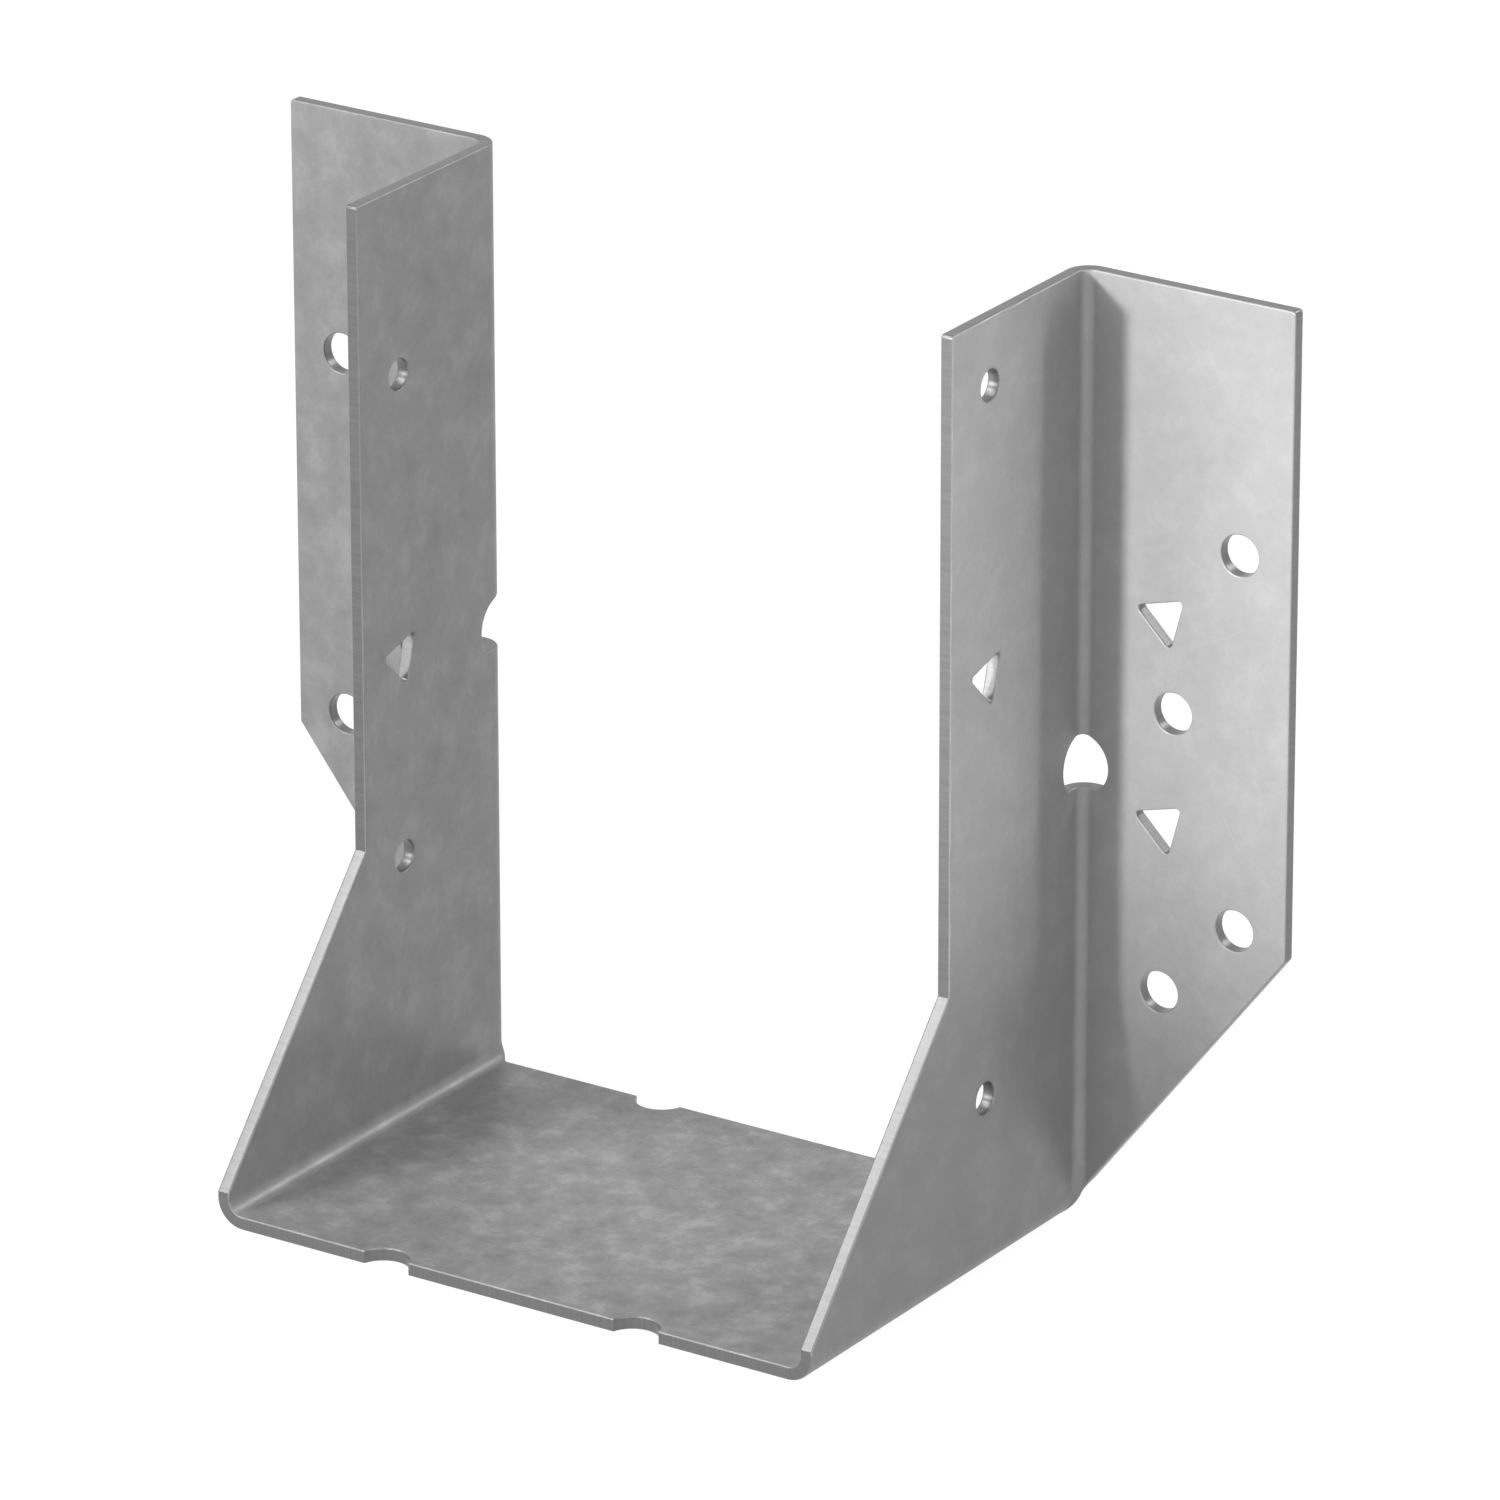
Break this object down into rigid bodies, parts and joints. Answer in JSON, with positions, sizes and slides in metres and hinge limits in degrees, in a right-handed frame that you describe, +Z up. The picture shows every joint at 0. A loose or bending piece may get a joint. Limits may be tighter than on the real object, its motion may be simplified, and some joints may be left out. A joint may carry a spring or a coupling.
{
  "type": "joist hanger",
  "caption": "Face-mount joist hanger folded from galvanised sheet: U-shaped seat with tapered side plates, outward nailing flanges, round and triangular nail holes, D-shaped fold holes.",
  "frame": {"origin": "middle of the footprint on the seat's underside", "axes": "+Z up; +Y into the header, normal to the flanges' backs; -Y out along the joist; +X to the right seen from the joist's side"},
  "size_m": [0.1574, 0.0662, 0.1337],
  "materials": {
    "galvanised_sheet": "hot-dip galvanised, half bright, with a fine cloudy spangle"
  },
  "bodies": {
    "root": {"joist_hanger": "galvanised_sheet"}
  },
  "joints": []
}
